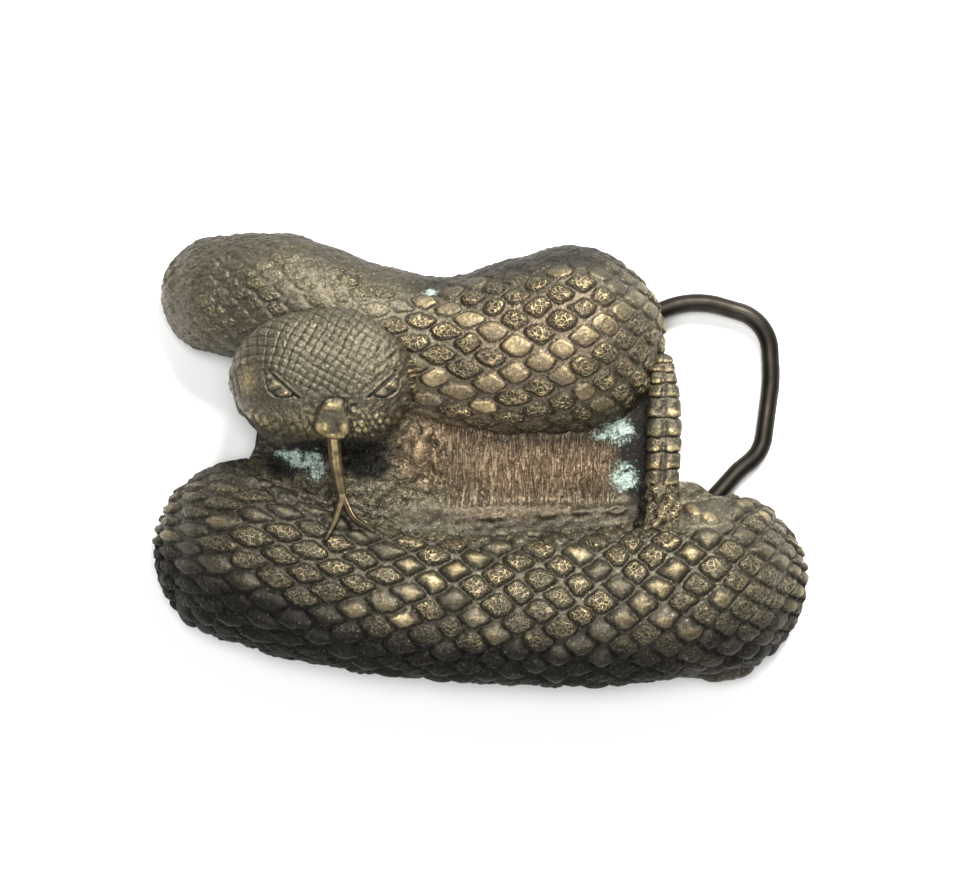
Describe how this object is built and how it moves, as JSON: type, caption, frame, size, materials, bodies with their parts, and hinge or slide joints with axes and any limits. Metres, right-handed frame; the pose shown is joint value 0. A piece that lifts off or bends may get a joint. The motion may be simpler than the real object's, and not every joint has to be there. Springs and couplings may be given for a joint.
{
  "type": "snake belt buckle",
  "caption": "Belt buckle cast as a coiled rattlesnake, with a hinged wire bail for the strap and a stud on its back for the belt's holes.",
  "frame": {"origin": "on the surface that the buckle lies on, under the middle of its bounding box", "axes": "+X along the buckle's length, towards the bail; +Y up the wearer, towards the upper coil; +Z out of the front"},
  "size_m": [0.0916, 0.0632, 0.024],
  "materials": {
    "cast_bronze": "cast in relief, dark brown patina, rubbed brighter on the raised scales",
    "worn_brass": "smooth, worn bright",
    "dark_wire": "drawn wire, blackened, satin"
  },
  "bodies": {
    "casting": {"snake_casting": "cast_bronze", "tongue": "worn_brass", "belt_stud": "cast_bronze"},
    "bail": {"belt_bail": "dark_wire"}
  },
  "joints": [
    {"name": "bail_hinge", "type": "hinge", "parent": "casting", "child": "bail", "pos_m": [0.022, 0.005, 0.0026], "axis": [0, 1, 0], "range_deg": [-2.5, 180]}
  ]
}
